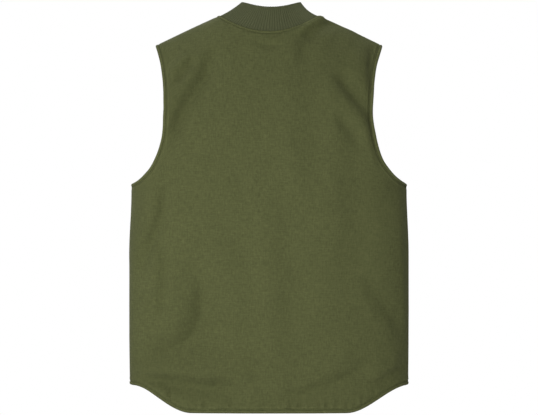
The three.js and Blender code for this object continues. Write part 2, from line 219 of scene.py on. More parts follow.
BACK_FOLDS = {
    "left_shoulder": Fold(11.0, (18, 10), (1, 0), [
        (100, -50), (115, -82), (132, -117), (149, -145), (167, -173), (177, -197), (187, -223),
        (197, -250)]),
    "left_shoulder_tuck": Fold(7.0, (9, 7), (1, 0), [
        (138, -74), (150, -90), (158, -99), (167, -110), (175, -121), (186, -136)]),
    "right_neck": Fold(8.0, (13, 9), (1, 0.4), [(-140, 10), (-116, -4), (-93, -15), (-71, -32), (-60, -48)]),
    "right_neck_tail": Fold(3.5, (15, 11), (1, 0.4), [
        (-80, -24), (-66, -40), (-58, -58), (-54, -80), (-50, -102)]),
    "neck_crease": Fold(2.0, (6, 5), (0, 1), [(30, -50), (8, -54), (-12, -55), (-30, -51)]),
    "right_shoulder": Fold(7.0, (16, 10), (1, 0), [
        (-110, -100), (-124, -124), (-140, -145), (-161, -170), (-184, -205), (-200, -268), (-212, -310)]),
    "right_armhole": Fold(5.0, (12, 8), (1, 0), [
        (-192, -50), (-187, -90), (-189, -160), (-193, -220), (-206, -266)]),
    "right_blade": Fold(3.0, (14, 10), (1, 0), [(-112, -178), (-143, -222), (-172, -262)]),
    "right_side": Fold(-6.0, (66, 14), (1, 0), [
        (-236, -300), (-240, -350), (-241, -400), (-243, -462), (-249, -536), (-252, -590),
        (-255, -650)], True),
    "right_hip": Fold(3.4, (20, 14), (1, 0), [(-160, -478), (-190, -529), (-227, -581), (-262, -636)]),
    "right_corner": Fold(6.0, (13, 9), (0.6, 1), [(-262, -648), (-228, -672), (-186, -694)]),
    "right_hem": Fold(5.5, (16, 11), (0.4, 1), [
        (20, -706), (-40, -706), (-88, -694), (-150, -668), (-196, -640)]),
    "left_side": Fold(8.0, (14, 9), (1, 0), [
        (190, -290), (203, -340), (211, -385), (226, -420), (241, -458), (250, -500)]),
    "left_waist": Fold(4.5, (12, 9), (1, 0), [(206, -420), (203, -462), (206, -536), (214, -580)]),
    "left_hip": Fold(20.0, (50, 60), (1, 0.6), [
        (130, -430), (134, -490), (132, -530), (133, -566), (144, -594), (166, -616), (200, -633),
        (236, -650), (275, -668), (315, -688)], True),
    "left_hem": Fold(15.0, (21, 19), (0, 1), [
        (300, -671), (262, -675), (223, -679), (186, -681), (148, -684), (101, -688), (60, -694),
        (10, -703)]),
    "left_hem_end": Fold(7.0, (11, 9), (0, 1), [
        (310, -672), (270, -676), (236, -680), (203, -682), (165, -683)]),
    "left_hem_tuck": Fold(3.0, (8, 6), (0, 1), [(206, -689), (184, -695), (158, -692)]),
}
# The wearer's left front. The right front has the same folds, mirrored and softer.
FRONT_FOLDS = {
    "shoulder": Fold(3.4, (15, 13), (-1, 0), [(112, -82), (130, -130), (150, -180), (172, -222)]),
    "chest": Fold(2.4, (15, 13), (0, 1), [(206, -318), (150, -342), (90, -352)]),
    "hip": Fold(3.8, (18, 13), (1, 0.4), [(116, -480), (132, -560), (184, -618), (254, -644)]),
    "hem": Fold(2.4, (14, 12), (0, 1), [(30, -692), (110, -684), (190, -664)]),
}
RIGHT_FOLD_SHARE = 0.7
FOLD_SAMPLES = 90
FOLD_RIDGE = 0.65
FOLD_SPREAD = 0.75
FOLD_EASE = 1.7
FOLD_TAPER = 0.3
ROLL_BEND = 2.0
ROLL_EDGE = 6.0
FOLD_SHADE = 0.035


def mirrored(fold, share):
    ridge = (-fold.ridge[0], fold.ridge[1])
    return fold._replace(depth=fold.depth * share, ridge=ridge, line=[(-x, z) for x, z in fold.line])


def curve_through(points, count):
    """Places along a smooth curve through a row of points."""
    p = np.asarray(points, float)
    p = appended(2 * p[:1] - p[1:2], p, 2 * p[-1:] - p[-2:-1])
    at = np.linspace(0, len(points) - 1, count)
    i = np.minimum(at.astype(int), len(points) - 2)
    t = (at - i)[:, None]
    a, b, c, d = (p[i + k] for k in range(4))
    bend = (2 * a - 5 * b + 4 * c - d) * t**2 + (3 * b - a - 3 * c + d) * t**3
    return b + ((c - a) * t + bend) / 2


def fold_lift(x, z, folds):
    """How far the folds raise or sink the cloth at each place, and how much painted shade darkens their
    creases.
    """
    place = stacked(x, z)
    total, shade = np.zeros_like(x), np.zeros_like(x)
    for fold in folds:
        curve = curve_through(fold.line, FOLD_SAMPLES)
        along = unit(np.gradient(curve, axis=0))
        normal = stacked(-along[:, 1], along[:, 0])
        if normal.mean(axis=0) @ np.array(fold.ridge) < 0:
            normal = -normal
        nearest = ((place[..., None, :] - curve) ** 2).sum(axis=-1).argmin(axis=-1)
        off = ((place - curve[nearest]) * normal[nearest]).sum(axis=-1)
        ridge, sunk = fold.width
        t = nearest / (FOLD_SAMPLES - 1)
        fade = smoothstep(t / FOLD_TAPER) * smoothstep((1 - t) / FOLD_TAPER)
        if fold.rolled:
            bend = np.clip(1 - off / ridge, 0, 1)
            profile = np.where(off > 0, -bend**ROLL_BEND, -hump(off / sunk))
            crease = np.where(off > 0, bend, hump(off / ROLL_EDGE))
        else:
            crest, hollow = off / ridge - FOLD_SPREAD, off / sunk + FOLD_SPREAD
            crest = np.where(crest > 0, crest / FOLD_EASE, crest)
            hollow = np.where(hollow < 0, hollow / FOLD_EASE, hollow)
            profile = FOLD_RIDGE * hump(crest) - hump(hollow)
            crease = hump(2 * off / (ridge + sunk))
        total += fold.depth * fade * profile
        shade += max(fold.depth, 0) * fade * crease
    return total, shade


# Sewn edges: how the cloth dips at a stitched line and puffs beside it; the tone is painted shade in the dips
# and a lighter worn strip on the puffs.
NECK_STITCH = 5.0
ZIP_STITCH = 7.0
STITCH_DIP = 1.0
STITCH_HALF = 1.3
NECK_PUFF = 0.9
BINDING_DIP = 0.6
BINDING_DIP_HALF = 1.6
EDGE_PUFF = 0.5
EDGE_PUFF_AT = 3.0
EDGE_PUFF_HALF = 2.0
SEAM_EASE = 0.8
SEAM_REACH = 14.0
SEAM_SHADE = 0.4
STITCH_SHADE = 1.3
EDGE_WEAR = 0.7
SIDE_DIP = 0.5
SIDE_DIP_ROWS = 10
ZIP_EDGE_DIP = 1.1
ZIP_EDGE_HALF = 1.6

# How far from the sewn edges the folds are flattened.
HEM_STIFF, HEM_STIFF_REACH = 0.75, 45.0
NECK_STIFF, NECK_STIFF_REACH = 0.9, 9.0
SIDE_FADE, SHOULDER_FADE = 70.0, 14.0
FADE_RISE = 200.0

# Small unevenness of the cloth: slow upright swells, crumples, and puckers above the hem's stitches.
RIPPLE_WAVES = 16
RIPPLE_SIZES = (0.7, 1.5)
SWELL_HEIGHT, SWELL_LENGTH, SWELL_UPRIGHT = 0.8, 75.0, 0.18
CRUMPLE_HEIGHT, CRUMPLE_LENGTH, CRUMPLE_SEED = 0.22, 34.0, 100
PUCKER_HEIGHT, PUCKER_LENGTH, PUCKER_SEED = 1.3, 11.0, 200
PUCKER_REACH = 6.0
PUCKER_END, PUCKER_FADE = 240.0, 60.0


def ripple(a, b, seed, wavelength):
    """Soft unevenness of about unit height, from a few seeded waves."""
    random = np.random.default_rng(seed)
    total = np.zeros(np.broadcast(a, b).shape)
    for _ in range(RIPPLE_WAVES):
        angle, phase = random.uniform(0, np.pi), random.uniform(0, 2 * np.pi)
        size = random.uniform(*RIPPLE_SIZES)
        run = (a * np.cos(angle) + b * np.sin(angle)) / (wavelength * size)
        total += np.cos(2 * np.pi * run + phase)
    return total / math.sqrt(RIPPLE_WAVES / 2)


def grid_normals(points):
    return unit(np.cross(np.gradient(points, axis=1), np.gradient(points, axis=0)))


def distance_to(points, line):
    """Distance of each point from an open line of points."""
    best = np.full(points.shape[:-1], np.inf)
    for a, b in zip(line, line[1:]):
        along = b - a
        t = np.clip((points - a) @ along / max(along @ along, TINY), 0, 1)
        gap = points - (a + t[..., None] * along)
        np.minimum(best, (gap * gap).sum(axis=-1), out=best)
    return np.sqrt(best)


def flat_places(points, middle):
    """Each place of a panel on the flat cloth: across from the middle, and up from the hem."""
    across = run_along(points[..., :2].swapaxes(0, 1)).T
    across = across - across[:, middle : middle + 1]
    climb = np.diff(points[..., 2], axis=0)
    up = np.sign(climb) * np.hypot(climb, np.diff(points[..., 1], axis=0))
    up = np.concatenate([points[:1, :, 2], points[:1, :, 2] + np.cumsum(up, axis=0)])
    return stacked(across, up)


def eased_at_seam(points):
    """How far a sewn edge is flattened where it crosses a side or shoulder seam."""
    return SEAM_EASE * (1 - smoothstep(np.abs(points[..., 1]) / SEAM_REACH))


def stiffened(away, stiff, reach):
    """The share of a fold's height that is left at a distance from a sewn edge."""
    return 1 - stiff * (1 - smoothstep(away / reach))


def panel(face, shares, zip_edge, length, neck_drop, folds, seed):
    """A panel as a grid of outer points, normals, flat places, and tones of wear and painted shade. shares
    run left to right as seen from outside, 1 is the wearer's left edge and the zip's edge is 0."""
    edge = edge_rows(face)
    reach = edge["x"][:, None]
    x = zip_edge + (reach - abs(zip_edge)) * shares
    fall = np.clip((HEM_CURVE_OUTER - np.abs(x)) / (HEM_CURVE_OUTER - HEM_CURVE_INNER), 0, 1)
    curve = smoothstep(fall) + HEM_CORNER * fall * (1 - fall) ** 3
    hem = edge["hem"][:, None] * (length - SIDE_LENGTH) * curve
    neck = edge["neck"][:, None] * neck_drop * (1 - (x / reach) ** 2)
    z = edge["z"][:, None] - hem - neck
    points = stacked(x, body_y(x, z, face), z)
    flat = flat_places(points, np.argmin(np.abs(shares)))
    from_neck = distance_to(points, points[-1])
    from_hem = distance_to(points, points[0])

    lift, shade = fold_lift(x, z, folds)
    lift += SWELL_HEIGHT * ripple(x, z * SWELL_UPRIGHT, seed, SWELL_LENGTH)
    lift += CRUMPLE_HEIGHT * ripple(x, z, seed + CRUMPLE_SEED, CRUMPLE_LENGTH)
    fade = SIDE_FADE + (SHOULDER_FADE - SIDE_FADE) * smoothstep((z - CHEST_Z) / FADE_RISE)
    lift *= smoothstep(np.abs(points[..., 1]) / fade)
    lift *= stiffened(from_hem, HEM_STIFF, HEM_STIFF_REACH)
    lift *= stiffened(from_neck, NECK_STIFF, NECK_STIFF_REACH)
    pucker = ripple(x, 0 * z, seed + PUCKER_SEED, PUCKER_LENGTH)
    pucker *= smoothstep((PUCKER_END - np.abs(x)) / PUCKER_FADE)
    lift += PUCKER_HEIGHT * pucker * from_hem / PUCKER_REACH * np.exp(1 - from_hem / PUCKER_REACH)

    # Tones of the wear attribute: a lighter worn strip beside the neck seam, and painted shade in its stitch
    # line and in the folds' creases.
    neck_strip = hump((from_neck - NECK_STITCH / 2) / (NECK_STITCH / 2))
    neck_line = hump((from_neck - NECK_STITCH) / STITCH_HALF)
    lift += NECK_PUFF * neck_strip - STITCH_DIP * neck_line
    wear_and_shade = EDGE_WEAR * neck_strip - STITCH_SHADE * neck_line - FOLD_SHADE * shade
    plain = body_normals(x, z, face)
    on_seam = ~np.isnan(edge["facing"][:, 0])
    bound = [from_hem]
    for column in (0, -1):
        if abs(shares[column]) == 1:
            plain[on_seam, column] = edge["facing"][on_seam] * (shares[column], 0, 1)
            bound.append(distance_to(points, points[UNDERARM_ROW : TIP_ROW + 1, column]))
            below = np.arange(UNDERARM_ROW, 0, -1)
            lift[:UNDERARM_ROW, column] -= SIDE_DIP * smoothstep(below / SIDE_DIP_ROWS)
        else:
            from_zip = distance_to(points, points[:, column])
            # Painted shade in the zip's seam and stitch line.
            zip_seam, zip_stitch = hump(from_zip / ZIP_EDGE_HALF), hump((from_zip - ZIP_STITCH) / STITCH_HALF)
            lift -= ZIP_EDGE_DIP * zip_seam + STITCH_DIP * zip_stitch
            wear_and_shade -= SEAM_SHADE * zip_seam + STITCH_SHADE * zip_stitch
    sewn = 1 - eased_at_seam(points)
    # Painted shade in the binding's seam, and a lighter worn strip beside it.
    for away in bound:
        seam, beside = hump(away / BINDING_DIP_HALF), hump((away - EDGE_PUFF_AT) / EDGE_PUFF_HALF)
        lift += (EDGE_PUFF * beside - BINDING_DIP * seam) * sewn
        wear_and_shade += EDGE_WEAR * beside - SEAM_SHADE * seam

    points = points + plain * lift[..., None]
    normals = grid_normals(points)
    for border in (np.s_[[0, -1]], np.s_[:, [0, -1]]):
        normals[border] = plain[border]
    return {"points": points, "normals": normals, "flat": flat, "wear_and_shade": wear_and_shade}


# Meshes.
BAKE_MARGIN = 0.005
scene = bpy.context.scene


def placed(name, data):
    made = bpy.data.objects.new(name, data)
    scene.collection.objects.link(made)
    return made


def make_object(name, points, faces, layers, corners=None, wear_and_shade=None):
    """An object from quads. layers are maps of flat places, and corners index them face by face."""
    mesh = bpy.data.meshes.new(name)
    mesh.from_pydata((points * MM).tolist(), [], faces.tolist())
    corners = faces if corners is None else corners
    for layer, places in layers.items():
        values = places[corners.ravel()].astype(np.float32)
        mesh.uv_layers.new(name=layer).data.foreach_set("uv", values.ravel())
    if wear_and_shade is not None:
        mesh.attributes.new("wear_and_shade", "FLOAT", "POINT").data.foreach_set("value", wear_and_shade.astype(np.float32))
    mesh.shade_smooth()
    return placed(name, mesh)


def merged(name, parts):
    """One object from parts that are points and faces."""
    bases = np.cumsum([0] + [len(points) for points, _ in parts])
    points = np.concatenate([points for points, _ in parts])
    faces = np.concatenate([faces + base for (_, faces), base in zip(parts, bases)])
    return make_object(name, points, faces, {"cloth": points[:, [0, 2]] * MM})


def fitted(places, left=0.0, right=1.0):
    """Flat places moved and scaled into an upright band of the unit square."""
    least = places.min(axis=0)
    span = places.max(axis=0) - least
    low, high = np.array([left, 0.0]) + BAKE_MARGIN, np.array([right, 1.0]) - BAKE_MARGIN
    return low + (places - least) / span * (high - low)


def wall(name, made):
    """A closed wall of cloth: the outer face, the inner face and the rim."""
    points, normals = made["points"], made["normals"]
    rows, columns = points.shape[:2]
    count = rows * columns
    outer = points.reshape(-1, 3)
    inner = outer - WALL * normals.reshape(-1, 3)
    number = np.arange(count).reshape(rows, columns)
    front = stacked(number[:-1, :-1], number[:-1, 1:], number[1:, 1:], number[1:, :-1]).reshape(-1, 4)
    behind = front[:, ::-1] + count
    rim = appended(number[0], number[1:, -1], number[-1, -2::-1], number[-2:0:-1, 0])
    after = np.roll(rim, -1)
    edge = stacked(after, rim, rim + count, after + count)
    faces = appended(front, behind, edge)
    corners = appended(front, behind, stacked(after, rim, rim, after))
    flat = made["flat"].reshape(-1, 2)
    layers = {"cloth": appended(flat, flat) * MM,
              "OFBake": appended(fitted(flat, right=0.5), fitted(flat, left=0.5))}
    wear_and_shade = np.tile(made["wear_and_shade"].ravel(), 2)
    cloth = make_object(name, appended(outer, inner), faces, layers, corners, wear_and_shade)
    cloth.data.set_sharp_from_angle(angle=math.radians(50))
    return cloth


def facing_out(points, faces):
    """Whether the faces of a closed mesh point out."""
    a, b, c, d = (points[faces[:, i]] for i in range(4))
    return (a * np.cross(b, c)).sum() + (a * np.cross(c, d)).sum() > 0


def end_quads(n):
    """Quads that close the end of a strip with an even number of sides."""
    low = np.arange(n // 2 - 1)
    return stacked(low, low + 1, n - 2 - low, n - 1 - low)


def strip(rings, closed):
    """A closed strip through rings of points: points, faces, corners and flat places."""
    count, n = rings.shape[:2]
    spans = count if closed else count - 1
    i, k = np.arange(spans)[:, None], np.arange(n)[None, :]
    j, m = (i + 1) % count, (k + 1) % n
    faces = stacked(i * n + k, j * n + k, j * n + m, i * n + m).reshape(-1, 4)
    wide = n + 1
    first = i * wide + k
    corners = stacked(first, first + wide, first + wide + 1, first + 1).reshape(-1, 4)
    looped = np.concatenate([rings, rings[:, :1]], axis=1)
    around = run_along(looped.swapaxes(0, 1)).mean(axis=1)
    middles = rings.mean(axis=1)
    middles = appended(middles, middles[:1]) if closed else middles
    flat = np.stack(np.meshgrid(run_along(middles), around, indexing="ij"), axis=-1).reshape(-1, 2)
    if not closed:
        cap = end_quads(n)
        faces = appended(faces, cap, cap[:, ::-1] + (count - 1) * n)
        corners = appended(corners, cap, cap[:, ::-1] + (count - 1) * wide)
    points = rings.reshape(-1, 3)
    if not facing_out(points, faces):
        faces, corners = faces[:, ::-1], corners[:, ::-1]
    return points, faces, corners, flat


def strip_part(rings, closed=False):
    return strip(np.array(list(rings)), closed)[:2]


def strip_object(name, rings, closed, wear_and_shade=None):
    points, faces, corners, flat = strip(rings, closed)
    return make_object(name, points, faces, {"cloth": flat * MM, "OFBake": fitted(flat)}, corners, wear_and_shade)


# Edges of the panels. A line is a row of stations: place, normal, and a place inside or the way outside.


def joined(a, b):
    """One station for the two that meet across a seam."""
    seam = (a + b) / 2
    seam[:, 1] = unit(seam[:, 1])
    return seam


def edge_line(made, edge, inside):
    return np.stack([made["points"][edge], made["normals"][edge], made["points"][inside]], axis=1)


def chained(parts):
    """Lines one after another, each last station joined with the next first one."""
    result = parts[0]
    for part in parts[1:]:
        result = appended(result[:-1], joined(result[-1:], part[:1]), part[1:])
    return result


def stations(line, closed):
    """The stations of an edge with the direction away from the cloth, square to the edge."""
    place, normal, inside = line.swapaxes(0, 1)
    if closed:
        along = np.roll(place, -1, axis=0) - np.roll(place, 1, axis=0)
    else:
        along = np.gradient(place, axis=0)
    away = unit(np.cross(along, normal))
    away[((place - inside) * away).sum(axis=-1) < 0] *= -1
    return np.stack([place, normal, away], axis=1)


def resampled(line, spacing, closed):
    """Stations at an even spacing along the same edge, and the distance along it."""
    line = appended(line, line[:1]) if closed else line
    run = run_along(line[:, 0])
    count = max(int(round(run[-1] / spacing)), 2)
    at = np.linspace(0, run[-1], count + 1)
    at = at[:-1] if closed else at
    return between(at, run, line), at


# The folded binding in section, from the sewn line over the outer face to the free edge.
BINDING_SPACING = 1.6
BINDING_SEAM = 0.05
BINDING_STITCH = 2.0
BINDING_OUT = np.array([0.0, 0.5, 1.1, 1.6, 2.0, 2.5, 3.2, 4.6, 6.2, 7.4, 8.0])
BINDING_UP = np.array([0.0, 0.3, 0.35, 0.0, -0.35, 0.2, 0.9, 1.15, 0.9, 0.1, -1.2])
# Tones across the section: painted shade in the stitch groove, a lighter worn top, and a painted shadow on
# the rolled free edge.
ARMHOLE_WEAR_AND_SHADE = np.array([-0.3, 0.0, 0.0, -0.9, -1.6, -0.6, 0.9, 1.4, 0.2, -2.2, -3.4])
HEM_WEAR_AND_SHADE = np.array([-0.2, 0.0, 0.0, -0.2, -0.3, 0.0, 0.4, 0.6, -0.6, -3.0, -4.0])
EDGE_FLARE = 4.0
FLARE_BEND = 1.5
FLARE_REACH = 30.0
FLARE_LOW = -290.0
FLARE_RISE = 70.0

# Slanting ropes of cloth in the binding, lower towards its edge, that partly come and go along it.
ROPE_LENGTH = 6.5
ROPE_HEIGHT = 0.14
ROPE_SLANT = 3.2
ROPE_START = 0.25
ROPE_FALL = 0.6
ROPE_STEADY = 0.6
ROPE_CHANGE = 60.0
ROPE_SEED = 7


def binding(name, edge, closed, worn_and_shaded, flare=0.0):
    """A folded strip along an edge, and the line of its stitches. Behind, its edge stands out by flare."""
    line, run = resampled(stations(edge, closed), BINDING_SPACING, closed)
    place, normal, away = line.swapaxes(0, 1)
    normal, away = unit(normal), unit(away)
    place = place - normal * BINDING_DIP * eased_at_seam(place)[:, None]
    turns = max(round(run[-1] / ROPE_LENGTH), 1)
    phase = 2 * np.pi * turns * run[:, None] / (run[-1] + (BINDING_SPACING if closed else 0))
    free = np.clip((BINDING_OUT - BINDING_STITCH) / (BINDING_WIDTH - BINDING_STITCH), 0, 1)
    rope = ROPE_HEIGHT * np.sin(phase + ROPE_SLANT * free) * smoothstep(free / ROPE_START)
    rope = rope * (1 - ROPE_FALL * free)
    rope = rope * (ROPE_STEADY + (1 - ROPE_STEADY) * ripple(run, 0 * run, ROPE_SEED, ROPE_CHANGE)[:, None])
    up = BINDING_UP + rope
    out = np.broadcast_to(BINDING_SEAM + BINDING_OUT, up.shape)
    out = np.concatenate([out, out[:, ::-1]], axis=1)[..., None]
    flared = flare * smoothstep(place[:, 1:2] / FLARE_REACH)
    flared = flared * smoothstep((place[:, 2:] - FLARE_LOW) / FLARE_RISE)
    flared = flared * (BINDING_OUT / BINDING_WIDTH) ** FLARE_BEND
    up = np.concatenate([up + flared, (flared - up)[:, ::-1] - WALL], axis=1)[..., None]
    rings = place[:, None] + away[:, None] * out + normal[:, None] * up
    # Tones across the strip: painted shade in the stitch groove and on the rolled free edge, and a lighter
    # worn top.
    wear_and_shade = np.broadcast_to(appended(worn_and_shaded, worn_and_shaded[::-1]), rings.shape[:2]).ravel()
    lift = np.array([np.interp(BINDING_STITCH, BINDING_OUT, BINDING_UP + row) for row in flared])[:, None]
    sewn = place + away * (BINDING_SEAM + BINDING_STITCH) + normal * lift
    return strip_object(name, rings, closed, wear_and_shade), np.stack([sewn, normal, away], axis=1)


# The panels and the strips on their edges.
back_shares = np.cos(np.pi * np.arange(BACK_COLUMNS + 1) / BACK_COLUMNS)
left_shares = np.sin(np.pi * np.arange(FRONT_COLUMNS + 1) / (2 * FRONT_COLUMNS))
left_shares[-1] = 1.0
right_shares = -left_shares[::-1]
left_folds = list(FRONT_FOLDS.values())
right_folds = [mirrored(fold, RIGHT_FOLD_SHARE) for fold in left_folds]

back = panel(BACK, back_shares, 0.0, BACK_LENGTH, BACK_NECK_DROP, BACK_FOLDS.values(), seed=11)
left = panel(FRONT, left_shares, ZIP_HALF, FRONT_LENGTH, FRONT_NECK_DROP, left_folds, seed=23)
right = panel(FRONT, right_shares, -ZIP_HALF, FRONT_LENGTH, FRONT_NECK_DROP, right_folds, seed=24)

back_cloth = wall("back_panel_cloth", back)
left_cloth = wall("front_panel_left_cloth", left)
right_cloth = wall("front_panel_right_cloth", right)


def armhole_line(rising, falling):
    up = np.arange(UNDERARM_ROW, TIP_ROW + 1)
    rise = edge_line(rising, *((up, column) for column in LAST))
    fall = edge_line(falling, *((up[::-1], column) for column in FIRST))
    over = chained([rise, fall])
    return appended(joined(over[:1], over[-1:]), over[1:-1])


def round_line(rows):
    return chained([edge_line(made, *rows) for made in (left, back, right)])


left_armhole, left_armhole_stitch = binding(
    "armhole_binding_left_cloth", armhole_line(left, back), True, ARMHOLE_WEAR_AND_SHADE)
right_armhole, right_armhole_stitch = binding(
    "armhole_binding_right_cloth", armhole_line(back, right), True, ARMHOLE_WEAR_AND_SHADE, EDGE_FLARE)
hem_strip, hem_stitch = binding("hem_binding_cloth", round_line(FIRST), False, HEM_WEAR_AND_SHADE)

# Rib-knit collar: a band from the neckline up to a round folded top, ribbed on both faces.
COLLAR_TOP_HALF = 56.5
COLLAR_TOP_Z = 27.0
COLLAR_BACK_DEPTH, COLLAR_BACK_DIP = 58.0, 13.0
COLLAR_BACK_BEND = 0.75
COLLAR_FRONT_DEPTH, COLLAR_FRONT_DIP = 72.0, 68.0
COLLAR_WALL = 3.4
COLLAR_SET_BACK = 1.0
COLLAR_TURN = 0.25
COLLAR_BOW = 1.8
COLLAR_RIGHT_BOW, COLLAR_RIGHT_POWER = 2.2, 4
COLLAR_END_GAP = 3.0
COLLAR_LEAN, COLLAR_LEAN_START = -4.5, -0.8
RIB_COUNT = 104
RIB_COLUMNS = 12
RIB_DEPTH = 0.8
RIB_POWER = 0.7
COLLAR_RISES = 16
COLLAR_ROUND_STEPS = 7


def collar_object(name):
    line = stations(round_line(LAST), False)
    place = line[:, 0]
    turn = np.arcsin(np.clip(place[:, 0] / NECK_HALF, -1, 1)) / np.pi
    shares = np.where(place[:, 1] >= 0, -turn, -np.sign(place[:, 0]) * (1 - np.abs(turn)))
    end = 1 - math.asin(COLLAR_END_GAP / (2 * NECK_HALF)) / math.pi
    phase = np.arange(RIB_COUNT * RIB_COLUMNS + 1) / RIB_COLUMNS
    share = np.linspace(-end, end, len(phase))

    place, normal, away = between(share, shares, line).swapaxes(0, 1)
    normal, away = unit(normal), unit(away)
    base = place + away * SEAM_GAP
    lean = np.cos(share * np.pi)
    bend = np.sign(lean) * np.abs(lean) ** np.where(lean > 0, COLLAR_BACK_BEND, 1.0)
    depth = np.where(lean > 0, COLLAR_BACK_DEPTH, COLLAR_FRONT_DEPTH) * bend
    dip = np.where(lean > 0, COLLAR_BACK_DIP, COLLAR_FRONT_DIP) * lean**2
    across = COLLAR_LEAN * smoothstep(lean - COLLAR_LEAN_START) - COLLAR_TOP_HALF * np.sin(share * np.pi)
    top = stacked(across, depth, COLLAR_TOP_Z - dip)
    outward = unit(np.cross(top - base, np.cross(away, normal)))
    outward[(outward * normal).sum(axis=-1) < 0] *= -1

    right_bow = COLLAR_RIGHT_BOW * np.clip(np.sin(share * np.pi), 0, 1) ** COLLAR_RIGHT_POWER
    groove = RIB_DEPTH * (1 - np.abs(np.sin(np.pi * phase)) ** RIB_POWER)
    height = np.linalg.norm(top - base, axis=-1)
    radius = COLLAR_WALL / 2 - groove
    crown = 1 - COLLAR_WALL / 2 / height
    rises = np.linspace(0, 1, COLLAR_RISES)
    outer = [(crown * rise, COLLAR_SET_BACK + groove) for rise in rises]
    inner = [(crown * rise, COLLAR_SET_BACK + COLLAR_WALL - groove) for rise in rises[::-1]]
    middle = COLLAR_SET_BACK + COLLAR_WALL / 2
    over = [(crown + radius * math.sin(angle) / height, middle - radius * math.cos(angle))
            for angle in np.pi * np.arange(1, COLLAR_ROUND_STEPS) / COLLAR_ROUND_STEPS]
    rings = []
    for rise, depth_in in [*outer, *over, *inner]:
        turned = smoothstep(rise / COLLAR_TURN)[:, None]
        facing = unit(normal * (1 - turned) + outward * turned)
        bow = 4 * (COLLAR_BOW + right_bow) * rise * (1 - rise)
        rings.append(base + (top - base) * rise[:, None] - facing * (depth_in + bow)[:, None])
    points, faces, corners, flat = strip(np.stack(rings, axis=1), False)
    knit_places = stacked(np.repeat(phase, len(rings) + 1), flat[:, 1])
    layers = {"cloth": flat * MM, "knit": knit_places, "OFBake": fitted(flat)}
    return make_object(name, points, faces, layers, corners)


collar = collar_object("collar_knit")

# Stitches: short bent pills of thread along a line, sunk at their ends.
STITCH_PITCH = 3.4
STITCH_LENGTH = 2.7
STITCH_RADIUS = 0.32
STITCH_SIDES = 6
STITCH_ALONG = np.array([0.0, 0.18, 0.5, 0.82, 1.0])
STITCH_SIZE = np.array([0.45, 0.9, 1.0, 0.9, 0.45])
STITCH_RISE = np.array([-0.3, 0.05, 0.16, 0.05, -0.3])


def stitch_parts(line):
    """Points and faces of each stitch along a line."""
    run = run_along(line[:, 0])
    starts = np.arange(0, run[-1] - STITCH_LENGTH, STITCH_PITCH)
    at = starts[:, None] + STITCH_ALONG * STITCH_LENGTH
    place, normal, away = np.moveaxis(between(at, run, line), -2, 0)[..., None, :]
    angle = (2 * np.pi * np.arange(STITCH_SIDES) / STITCH_SIDES)[:, None]
    size, rise = STITCH_RADIUS * STITCH_SIZE[:, None, None], STITCH_RISE[:, None, None]
    rings = place + normal * rise + size * (away * np.cos(angle) + normal * np.sin(angle))
    return [strip_part(stitch) for stitch in rings]


def stitching(name, lines):
    return merged(name, [part for line in lines for part in stitch_parts(line)])


FROM_EDGE = {
    "neck": lambda grid: grid[::-1],
    "left_zip": lambda grid: grid.swapaxes(0, 1),
    "right_zip": lambda grid: grid.swapaxes(0, 1)[::-1],
}


def inset_line(made, edge, distance, free):
    """Stations inside a panel at a distance from one of its edges, without the free ones at each end."""
    grid, facing = FROM_EDGE[edge](made["points"]), FROM_EDGE[edge](made["normals"])
    run = run_along(grid)
    row = np.argmax(run >= distance, axis=0)
    column = np.arange(grid.shape[1])
    before = run[row - 1, column]
    t = ((distance - before) / (run[row, column] - before))[:, None]
    place = grid[row - 1, column] * (1 - t) + grid[row, column] * t
    normal = unit(facing[row - 1, column] * (1 - t) + facing[row, column] * t)
    away = unit(np.cross(np.gradient(place, axis=0), normal))
    start, end = free
    return np.stack([place, normal, away], axis=1)[start:-end]


back_stitches = stitching("neck_stitching", [inset_line(back, "neck", NECK_STITCH, free=(6, 6)),
                                             inset_line(left, "neck", NECK_STITCH, free=(3, 4)),
                                             inset_line(right, "neck", NECK_STITCH, free=(4, 3))])
front_stitches = stitching("zip_stitching", [inset_line(left, "left_zip", ZIP_STITCH, free=(2, 6)),
                                             inset_line(right, "right_zip", ZIP_STITCH, free=(2, 6))])
edge_stitches = stitching("binding_stitching", [left_armhole_stitch, right_armhole_stitch, hem_stitch])

# Front zip. Sizes of blocks are across, down and out. The tape's cord is its raised middle.
SIDEWAYS = np.array([1.0, 0.0, 0.0])
ZIP_TOP_GAP, ZIP_HEM_GAP = 3.0, 0.4
ZIP_FACING_COLUMN = 6
TAPE_STEPS = 220
TAPE_TOP, TAPE_BOTTOM = -0.6, -2.4
TAPE_ROUND, TAPE_ROUND_DROP = 0.4, 0.3
TAPE_CORD_FOOT, TAPE_CORD_HALF, TAPE_CORD_RISE = 3.1, 2.8, 0.35
TAPE_KEEL_HALF, TAPE_KEEL_DROP = 0.5, 0.2
TOOTH_ACROSS, TOOTH_OUT = 1.0, -0.35
TEETH_PITCH, TEETH_START = 2.7, 1.5
STOP_OUT, STOP_ROOM, STOP_DROP = -0.3, 10.0, 3.4
SLIDER_TOP, SLIDER_LENGTH, SLIDER_OUT = 5.0, 13.0, 0.5
SLIDER_LEVELS = 13
SLIDER_HALF, SLIDER_WIDER, SLIDER_WIDER_END, SLIDER_WIDER_RUN = 3.2, 1.0, 0.75, 0.6
SLIDER_HIGH, SLIDER_END_POWER, SLIDER_END_SHARE = 1.9, 6, 0.15
BRIDGE_STEPS, BRIDGE_HALF, BRIDGE_REACH, BRIDGE_FOOT, BRIDGE_RISE = 15, 1.1, 4.2, 2.2, 1.5
BRIDGE_FOOT_THICK, BRIDGE_TOP_THICK = 0.16, 0.28
PULL_TOP, PULL_POINTS = 13.5, 40
PULL_THICK, PULL_OUT, PULL_LEAN = 1.3, 2.3, 0.012


